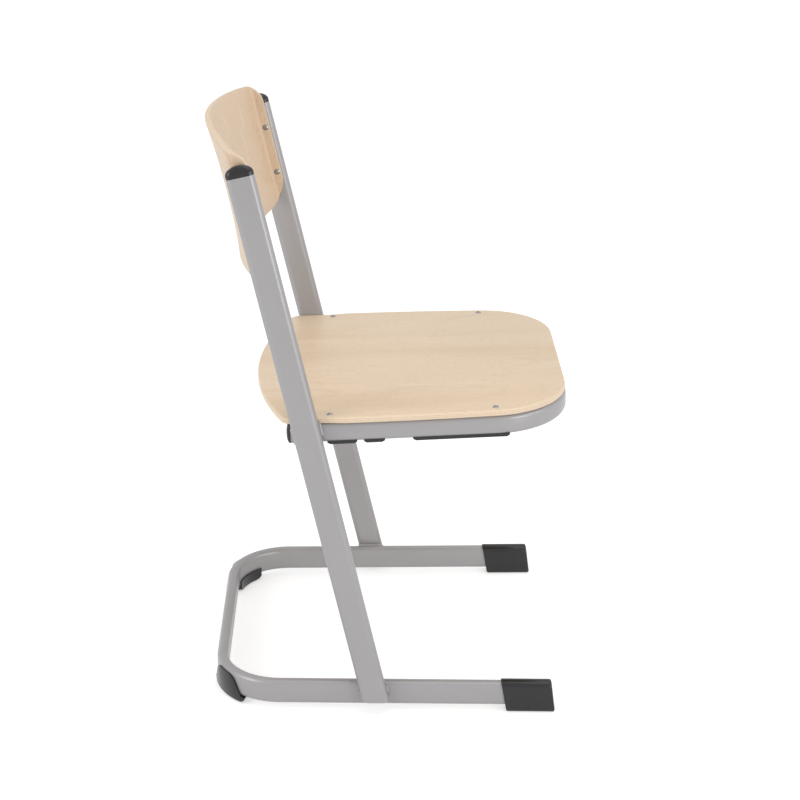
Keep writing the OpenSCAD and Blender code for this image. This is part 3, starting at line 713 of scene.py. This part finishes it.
def corner_rise(distance, radius):
    """How far a rounded corner stands in, at a distance from the side edge"""
    if distance >= radius:
        return 0
    return radius - math.sqrt(max(0, radius * radius - (radius - distance) ** 2))


def back_outline():
    """The outline of the backrest's left half on the flat, from its lower middle up"""
    points = [(0, back_bottom)]
    for step in range(1, back_corner_steps + 1):
        x = (back_half - back_lower_corner) * step / back_corner_steps
        points.append((x, back_bottom))
    for step in range(1, back_corner_steps + 1):
        a = math.pi / 2 * step / back_corner_steps
        x = back_half - back_lower_corner * (1 - math.sin(a))
        points.append((x, back_bottom + back_lower_corner * (1 - math.cos(a))))
    for step in range(back_upper_steps + 1):
        a = math.pi / 2 * step / back_upper_steps
        x = back_half - back_upper_corner * (1 - math.cos(a))
        drop = back_crown * (x / back_half) ** 2 + corner_rise(back_half - x, back_upper_corner)
        points.append((x, back_top - drop))
    for step in range(1, back_crown_steps + 1):
        x = (back_half - back_upper_corner) * (1 - step / back_crown_steps)
        points.append((x, back_top - back_crown * (x / back_half) ** 2))
    return points


def pressed(point):
    """Where a point of the flat board goes in the mould, in the frame of the uprights"""
    along, up, into = point
    reach = abs(along)
    side = -1 if along < 0 else 1
    if reach <= arc_length:
        a = reach / back_radius
        x = back_radius * math.sin(a)
        y = back_depth - back_radius * (1 - math.cos(a))
        fade = math.cos(math.pi / 2 * reach / arc_length) ** 2
    elif reach <= arc_length + bend_length:
        a = back_turn + (reach - arc_length) / back_bend
        hub = back_radius - back_bend
        x = hub * math.sin(back_turn) + back_bend * math.sin(a)
        y = back_depth - back_radius + hub * math.cos(back_turn) + back_bend * math.cos(a)
        fade = 0
    else:
        a = math.pi / 2
        x = back_x
        y = back_flat_w - (reach - arc_length - bend_length)
        fade = 0
    x += into * math.sin(a)
    y += into * math.cos(a)
    close_in = (up - back_ref) * math.tan(toe_in) * min(1, x / (back_x - board))
    bow = back_bow * ((up - back_ref) / back_bow_reach) ** 2 * fade
    return Vector((side * (x - close_in), y + bow, up))


back_board = sawn_board("back_board", both_halves(back_outline()))
arc_cuts = [arc_length * step / back_arc_cuts for step in range(back_arc_cuts)]
bend_cuts = [
    arc_length + bend_length * step / back_bend_cuts for step in range(back_bend_cuts + 1)
]
cut_across(back_board, 0, [s * c for c in arc_cuts + bend_cuts for s in (1, -1)])
cut_across(back_board, 1, [back_bottom + back_row * step for step in range(1, back_rows)])
mark_plies(back_board)
for vertex in back_board.data.vertices:
    vertex.co = pressed(vertex.co)
place(back_board, uprights)
face_outward(back_board)
# The backrest's face and flame colours are set darker than the seat's. This is painted shade: it
# stands in for the lesser light that falls on its upright face than on the seat.
back_veneer_painted_shade = make_veneer(
    "back beech",
    face=(0.655, 0.495, 0.345),
    flame=(0.59, 0.43, 0.29),
    shift=(2.6, 1.1),
    stretch=(0.6, 2.2),
)
finish_piece(back_board, back_veneer_painted_shade, "beech", "back_plate", angle=25)

# Rivets: blind rivets of aluminium, four down through the seat into the seat frame and
# two through each side of the backrest into its upright. Each has a low domed head with
# the hollow that is left where its pin broke off.
rivet_head = 0.0046
rivet_head_height = 0.0016
rivet_hollow = 0.0014
rivet_hollow_depth = 0.0007
rivet_pin = 0.0009
rivet_step = 0.0001
rivet_sides = 32
rivet_rings = 8
rivet_colour = (0.3, 0.3, 0.29)


def make_rivet_head(name):
    """A rivet head on z = 0, its dome up +Z"""
    ball = (rivet_head**2 + rivet_head_height**2) / (2 * rivet_head_height)
    hollow = rivet_head_height - rivet_hollow_depth
    profile = [(rivet_pin, hollow + 2 * rivet_step), (rivet_pin, hollow), (rivet_hollow, hollow)]
    lip = rivet_hollow + rivet_step
    for step in range(rivet_rings + 1):
        radius = lip + (rivet_head - lip) * step / rivet_rings
        height = rivet_head_height - ball + math.sqrt(ball**2 - radius**2)
        profile.append((radius, max(height, rivet_step)))
    profile.append((rivet_head, -rivet_step))
    bpy.ops.object.select_all(action="DESELECT")
    radius, height = profile[0]
    bpy.ops.mesh.primitive_circle_add(
        vertices=rivet_sides, radius=radius, location=(0, 0, height), fill_type="TRIFAN"
    )
    piece = bpy.context.object
    piece.name = name
    bpy.ops.object.transform_apply(location=True)
    bpy.ops.object.mode_set(mode="EDIT")
    pick(piece, lambda e: e.is_boundary, "EDGE")
    for wide, tall in profile[1:]:
        step = (0, 0, tall - height)
        bpy.ops.mesh.extrude_region_move(TRANSFORM_OT_translate={"value": step})
        scale = wide / radius
        bpy.ops.transform.resize(value=(scale, scale, 1), center_override=(0, 0, tall))
        radius, height = wide, tall
    bpy.ops.mesh.edge_face_add()
    bpy.ops.object.mode_set(mode="OBJECT")
    face_outward(piece)
    return piece


def copied(piece, matrix):
    """A copy of a piece, with its own mesh, put in its place"""
    bpy.ops.object.select_all(action="DESELECT")
    piece.select_set(True)
    bpy.context.view_layer.objects.active = piece
    bpy.ops.object.duplicate()
    copy = bpy.context.object
    place(copy, matrix)
    return copy


def make_aluminium():
    """Dull satin aluminium"""
    material, shader, nodes, links = new_material("rivet aluminium")
    shader.inputs["Metallic"].default_value = 0.85
    grain = nodes.new("ShaderNodeGroup")
    grain.node_tree = fine_grain
    grain.inputs["Speckle Scale"].default_value = 3000.0
    grain.inputs["Skin Scale"].default_value = 1200.0
    shade = spread(nodes, links, grain.outputs["Speckle"], 0.94, 1.06)
    colour = mixed(nodes, links, 1.0, rivet_colour, shade, "MULTIPLY")
    links.new(colour, shader.inputs["Base Color"])
    rough = spread(nodes, links, grain.outputs["Skin"], 0.2, 0.3)
    links.new(rough, shader.inputs["Roughness"])
    skin = grain.outputs["Skin"]
    raise_bump(nodes, links, shader, skin, strength=0.15, distance=0.00003)
    return material


aluminium = make_aluminium()
rivet_inset = 0.0012
back_rivet_shift = 0.0003
seat_rivet_places = (0.0694, -0.1576)
rail_middle_x = 0.200363
back_rivet_places = (0.6955, 0.766)
back_rivet_w = back_flat_w - rivet_head + back_rivet_shift
head = make_rivet_head("rivet_head")
heads = []
for _, side in sides:
    for y in seat_rivet_places:
        x = rail_middle_x + y * math.tan(rail_taper) - rivet_inset
        heads.append(copied(head, seat_place @ Matrix.Translation((side * x, y, 0))))
seat_heads = joined("seat_rivet_heads", heads)
finish_piece(seat_heads, aluminium, "rivet", "seat_rivets")
heads = []
for _, side in sides:
    for s in back_rivet_places:
        x = upright_inner - s * math.tan(toe_in) - back_gap - board / math.cos(toe_in)
        spot = Matrix.Translation((side * x, back_rivet_w, s))
        turn = Matrix.Rotation(-side * (math.pi / 2 + toe_in), 4, "Y")
        heads.append(copied(head, uprights @ spot @ turn))
back_heads = joined("back_rivet_heads", heads)
finish_piece(back_heads, aluminium, "rivet", "back_rivets")
bpy.data.objects.remove(head)

# Caps and plugs: domed black plastic plugs pressed into the tops of the uprights and the
# rear ends of the seat frame. All the plastic is moulded in a fine satin texture.
cap_rim = 0.0035
cap_height = 0.015
plug_rim = 0.0016
plug_height = 0.0057
dome_steps = 10
dome_fullness = 0.8
dome_tip = (0.02, 0.05)
plastic_colour = (0.008, 0.0075, 0.0078)


def make_plastic():
    """Black moulded plastic with a fine satin skin"""
    material, shader, nodes, links = new_material("black plastic")
    grain = nodes.new("ShaderNodeGroup")
    grain.node_tree = fine_grain
    grain.inputs["Speckle Scale"].default_value = 1400.0
    grain.inputs["Skin Scale"].default_value = 900.0
    shade = math_node(
        nodes,
        links,
        "MULTIPLY",
        spread(nodes, links, grain.outputs["Speckle"], 0.9, 1.1),
        spread(nodes, links, grain.outputs["Cloud"], 0.92, 1.08),
    )
    colour = mixed(nodes, links, 1.0, plastic_colour, shade, "MULTIPLY")
    links.new(colour, shader.inputs["Base Color"])
    rough = spread(nodes, links, grain.outputs["Speckle"], 0.22, 0.3)
    links.new(rough, shader.inputs["Roughness"])
    skin = grain.outputs["Skin"]
    raise_bump(nodes, links, shader, skin, strength=0.3, distance=0.00005)
    return material


black_plastic = make_plastic()


def end_cap(name, thick, depth, rim, height, matrix):
    """A domed cap on a flat-oval end: its rim lies on y = 0 and its dome is towards -Y"""
    piece = oval_ring(name, thick, depth)
    bpy.ops.object.mode_set(mode="EDIT")
    bpy.ops.mesh.select_all(action="SELECT")
    bpy.ops.mesh.edge_face_add()
    bpy.ops.mesh.extrude_region_move(TRANSFORM_OT_translate={"value": (0, -rim, 0)})
    at = rim
    size = (1.0, 1.0)
    for step in range(1, dome_steps + 1):
        a = math.pi / 2 * step / dome_steps
        new_at = rim + (height - rim) * math.sin(a)
        new_size = (
            max(dome_tip[0], math.cos(a) ** dome_fullness),
            max(dome_tip[1], math.cos(a)),
        )
        move = (0, at - new_at, 0)
        bpy.ops.mesh.extrude_region_move(TRANSFORM_OT_translate={"value": move})
        scale = (new_size[0] / size[0], 1, new_size[1] / size[1])
        bpy.ops.transform.resize(value=scale, center_override=(0, -new_at, 0))
        at = new_at
        size = new_size
    bpy.ops.object.mode_set(mode="OBJECT")
    face_outward(piece)
    place(piece, matrix)
    return piece


upward = Matrix.Rotation(-math.pi / 2, 4, "X")
rail_rear = 0.123532
for side_name, side in sides:
    top = Matrix.Translation((0, 0, upright_length / math.cos(toe_in)))
    cap = end_cap(
        "cap_" + side_name,
        tube_thick,
        tube_depth,
        cap_rim,
        cap_height,
        upright_axis(side) @ top @ upward,
    )
    finish_piece(cap, black_plastic, "black", "upright_cap_" + side_name)
    x = rail_middle_x + rail_rear * math.tan(rail_taper)
    end = Matrix.Translation((side * x, rail_rear, rail_middle))
    turn = Matrix.Rotation(math.pi - side * rail_taper, 4, "Z")
    plug = end_cap(
        "plug_" + side_name,
        rail_thick,
        rail_height,
        plug_rim,
        plug_height,
        seat_place @ end @ turn,
    )
    finish_piece(plug, black_plastic, "black", "rail_plug_" + side_name)

# Front sleeves: moulded plastic shoes pushed over the ends of the base arms. They are
# round along the top like the tube, thicker below, and their ends slope.
sleeve_half = 0.0101
sleeve_top = 0.049
sleeve_ends = ((-0.0104, 0.0601), (-0.0034, 0.0691))
sleeve_sole = 0.005
sleeve_edge = 0.003
arm_end = (0.217828, foot_y - 0.246)
mouth_wall = 0.0026
mouth_depth = 0.004
mouth_area = 4e-4
sleeve_crown = 0.98 * sleeve_half
sleeve_sole_steps = 5
sleeve_crown_steps = 12
sleeve_edge_steps = 4
sleeve_soft = 0.0004
soft_steps = 2
facing = 0.9
sharp = math.radians(30)


def end_edge(edge):
    """Whether an edge is a sharp one between an end face and a side"""
    ends = [abs(face.normal.y) > facing for face in edge.link_faces]
    return any(ends) and not all(ends) and edge.calc_face_angle() > sharp


def front_sleeve(name):
    """A sleeve with the arm's cut end at y = 0 and the arm along +Y"""
    bpy.ops.object.select_all(action="DESELECT")
    bpy.ops.mesh.primitive_cube_add(size=1)
    piece = bpy.context.object
    piece.name = name
    for vertex in piece.data.vertices:
        x, y, z = (1 if c > 0 else 0 for c in vertex.co)
        vertex.co = (sleeve_half * (2 * x - 1), sleeve_ends[z][y], sleeve_top * z)
    bpy.ops.object.mode_set(mode="EDIT")
    pick(piece, lambda e: all(v.co.z < nearly_zero for v in e.verts), "EDGE")
    bpy.ops.mesh.bevel(offset=sleeve_sole, segments=sleeve_sole_steps, affect="EDGES")
    pick(
        piece,
        lambda e: abs(e.verts[0].co.y - e.verts[1].co.y) > sleeve_top / 2
        and all(v.co.z > sleeve_top - nearly_zero for v in e.verts),
        "EDGE",
    )
    bpy.ops.mesh.bevel(offset=sleeve_crown, segments=sleeve_crown_steps, affect="EDGES")
    pick(piece, lambda e: all(v.co.y < 0 for v in e.verts) and end_edge(e), "EDGE")
    bpy.ops.mesh.bevel(offset=sleeve_edge, segments=sleeve_edge_steps, affect="EDGES")
    pick(piece, lambda f: f.normal.y > facing and f.calc_area() > mouth_area, "FACE")
    bpy.ops.mesh.inset(thickness=mouth_wall)
    bpy.ops.mesh.extrude_region_move(TRANSFORM_OT_translate={"value": (0, -mouth_depth, 0)})
    bpy.ops.object.mode_set(mode="OBJECT")
    return piece


for side_name, side in sides:
    sleeve = front_sleeve("sleeve_" + side_name)
    spot = Matrix.Translation((side * arm_end[0], arm_end[1], 0))
    place(sleeve, spot @ Matrix.Rotation(side * base_splay, 4, "Z"))
    face_outward(sleeve)
    modify(sleeve, "BEVEL", width=sleeve_soft, segments=soft_steps, limit_method="ANGLE")
    finish_piece(sleeve, black_plastic, "black", "front_sleeve_" + side_name)

# Rear glides: curved plastic cups clipped under the bends of the base. Their high outer
# wall slopes down to a toe at both ends, their inner wall is low and shorter, and their
# sole meets the floor and is rounded up at its ends.
glide_start = math.radians(32.4)
glide_turn = math.radians(50.8)
glide_wall = 0.0026
glide_gap = 0.00015
glide_rim = 0.0405
glide_inner_rim = 0.0205
glide_toe = 0.0105
glide_toe_run = 0.006
glide_toe_round = 0.005
glide_slope = math.radians(60)
glide_shoulder = 0.016
glide_sole = 0.005
glide_end_round = 0.02
glide_end_low = 0.008
glide_skew = math.tan(math.radians(16))
glide_steps = 80
glide_corner_steps = 4
glide_bore_steps = 16
glide_soft = 0.0005


def glide_profile():
    """The cup's section: outer wall, sole and inner wall, then round under the tube"""
    bore = tube_thick / 2 + glide_gap
    outer = bore + glide_wall
    hub = base_underside + tube_thick / 2
    points = [(-outer, glide_inner_rim)]
    for end in (-1, 1):
        for step in range(glide_corner_steps + 1):
            turned = step if end < 0 else glide_corner_steps - step
            a = math.pi / 2 * turned / glide_corner_steps
            x = end * (outer - glide_sole + glide_sole * math.cos(a))
            points.append((x, glide_sole - glide_sole * math.sin(a)))
    points += [(outer, glide_rim), (bore, glide_rim)]
    for step in range(glide_bore_steps + 1):
        a = math.pi * step / glide_bore_steps
        points.append((bore * math.cos(a), hub - bore * math.sin(a)))
    points.append((-bore, glide_inner_rim))
    return points


def wall_top(run):
    """Height of the outer wall at a distance from either end: toe, slope and shoulder"""
    toe_end = glide_toe_run - glide_toe_round * math.tan(glide_slope / 2)
    rise = glide_rim - glide_toe
    shoulder = glide_toe_run + rise / math.tan(glide_slope)
    shoulder += glide_shoulder * math.tan(glide_slope / 2)
    if run >= shoulder:
        return glide_rim
    if run >= shoulder - glide_shoulder * math.sin(glide_slope):
        drop = glide_shoulder - math.sqrt(glide_shoulder**2 - (shoulder - run) ** 2)
        return glide_rim - drop
    if run >= toe_end + glide_toe_round * math.sin(glide_slope):
        return glide_toe + (run - glide_toe_run) * math.tan(glide_slope)
    if run >= toe_end:
        return glide_toe + glide_toe_round - math.sqrt(glide_toe_round**2 - (run - toe_end) ** 2)
    return glide_toe


def sole_low(run):
    """Height of the sole at a distance from either end, where it is rounded"""
    rise = glide_end_round - glide_end_low
    to_flat = math.sqrt(glide_end_round**2 - rise**2) - run
    if to_flat <= 0:
        return 0
    return glide_end_round - math.sqrt(glide_end_round**2 - to_flat**2)


def rear_glide(name):
    """The left glide, in place: its section is swept round the bend, then its ends shaped"""
    profile = glide_profile()
    bpy.ops.object.select_all(action="DESELECT")
    bpy.ops.mesh.primitive_circle_add(vertices=len(profile), radius=1)
    piece = bpy.context.object
    piece.name = name
    for vertex, (across, up) in zip(piece.data.vertices, profile):
        vertex.co = (base_bend + across, 0, up)
    hub = Matrix.Translation((*base_corner, 0))
    place(piece, hub @ Matrix.Rotation(glide_start, 4, "Z"))
    bpy.ops.object.mode_set(mode="EDIT")
    bpy.ops.mesh.select_all(action="SELECT")
    bpy.ops.mesh.spin(
        steps=glide_steps,
        angle=glide_turn,
        center=(*base_corner, 0),
        axis=(0, 0, -1),
    )
    bpy.ops.object.mode_set(mode="OBJECT")
    for vertex in piece.data.vertices:
        out = vertex.co.xy - Vector(base_corner)
        short = (base_bend + tube_thick / 2 + glide_gap + glide_wall - out.length) * glide_skew
        half = glide_turn / 2
        turned = math.atan2(out.y, out.x) - glide_start - half
        turned *= 1 - math.asin(short / out.length) / half
        turn = Matrix.Rotation(glide_start + half + turned, 2)
        vertex.co.xy = Vector(base_corner) + turn @ Vector((out.length, 0))
        run = out.length * math.sin(max(0, half - abs(turned)))
        if out.length > base_bend:
            vertex.co.z = min(vertex.co.z, wall_top(run))
        vertex.co.z = max(vertex.co.z, sole_low(max(0, run - short)))
    bpy.ops.object.mode_set(mode="EDIT")
    pick(piece, lambda e: e.is_boundary, "EDGE")
    bpy.ops.mesh.edge_face_add()
    bpy.ops.object.mode_set(mode="OBJECT")
    return piece


for side_name, side in sides:
    glide = rear_glide("glide_" + side_name)
    if side < 0:
        place(glide, Matrix.Scale(-1, 4, (1, 0, 0)))
    face_outward(glide)
    modify(glide, "BEVEL", width=glide_soft, segments=soft_steps, limit_method="ANGLE")
    finish_piece(glide, black_plastic, "black", "rear_glide_" + side_name)

# Pads: strips of the same plastic clipped under the seat frame, three to a side, where
# the chair rests when it is hung on a table. Their CAD solids stay as they are.
for side_name, side in sides:
    for spot in ("rear", "middle", "front"):
        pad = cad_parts[spot + "_pad_" + side_name]
        pad.data.materials.clear()
        pad.data.materials.append(black_plastic)

# Floor and light: a plain white floor and surround, a broad soft light overhead, and
# three smaller ones in front, at the near side and behind.
bpy.ops.object.select_all(action="DESELECT")
bpy.ops.mesh.primitive_plane_add(size=40)
floor = bpy.context.object
floor.name = "floor"
floor_glow = 0.48
fill = 0.67


def seen_ray(nodes, links):
    """1 for the rays that see the background: the camera's, reflected and transmitted ones"""
    path = nodes.new("ShaderNodeLightPath")
    seen = path.outputs["Is Camera Ray"]
    for kind in ("Is Glossy Ray", "Is Transmission Ray"):
        seen = math_node(nodes, links, "MAXIMUM", seen, path.outputs[kind])
    return seen


def make_floor():
    """White floor that keeps the object's shadow and is seen as white"""
    material, shader, nodes, links = new_material("white floor")
    shader.inputs["Base Color"].default_value = (0.8, 0.8, 0.8, 1)
    shader.inputs["Roughness"].default_value = 0.9
    shader.inputs["Specular IOR Level"].default_value = 0.1
    shader.inputs["Emission Color"].default_value = (1, 1, 1, 1)
    strength = math_node(nodes, links, "MULTIPLY", seen_ray(nodes, links), floor_glow)
    links.new(strength, shader.inputs["Emission Strength"])
    return material


floor.data.materials.append(make_floor())

world = bpy.data.worlds.new("white surround")
bpy.context.scene.world = world
world.use_nodes = True
world_nodes = world.node_tree.nodes
world_links = world.node_tree.links
sky = world_nodes["Background"]
sky.inputs["Color"].default_value = (1, 1, 1, 1)
plain = seen_ray(world_nodes, world_links)
plain = math_node(world_nodes, world_links, "MULTIPLY_ADD", plain, 1 - fill, fill)
world_links.new(plain, sky.inputs["Strength"])


def soft_light(name, location, aim, size, power):
    """A square soft light aimed at a point"""
    data = bpy.data.lights.new(name, "AREA")
    data.shape = "SQUARE"
    data.size = size
    data.energy = power
    light = bpy.data.objects.new(name, data)
    bpy.context.scene.collection.objects.link(light)
    light.location = location
    light.rotation_euler = (Vector(aim) - Vector(location)).to_track_quat("-Z", "Y").to_euler()


soft_light("top light", (-0.4, -0.5, 2.8), aim=(0, 0, 0.3), size=2.2, power=14)
soft_light("front light", (-1.2, -2.8, 1.3), aim=(0, 0, 0.4), size=1.2, power=9.5)
soft_light("side light", (-2.2, -1.9, 0.7), aim=(0, 0, 0.5), size=0.8, power=15.5)
soft_light("rear light", (-1.6, 2.6, 1.4), aim=(0, 0, 0.4), size=1.6, power=30)

# Camera: a long lens at the sitter's right, 1.4 m up and looking down 22 degrees
camera_place = (-2.503, foot_y + 0.0348, 1.4048)
pitch = 0.3835
yaw = 0.0266
roll = 0.0136
camera_data = bpy.data.cameras.new("camera")
camera_data.sensor_width = 36
camera_data.lens = 82.27
camera = bpy.data.objects.new("camera", camera_data)
bpy.context.scene.collection.objects.link(camera)
bpy.context.scene.camera = camera
forward = Vector(
    (math.cos(pitch) * math.cos(yaw), -math.cos(pitch) * math.sin(yaw), -math.sin(pitch))
)
aim = forward.to_track_quat("-Z", "Y").to_matrix().to_4x4()
camera.matrix_world = Matrix.Translation(camera_place) @ aim @ Matrix.Rotation(roll, 4, "Z")
bpy.context.scene.view_settings.view_transform = "Standard"
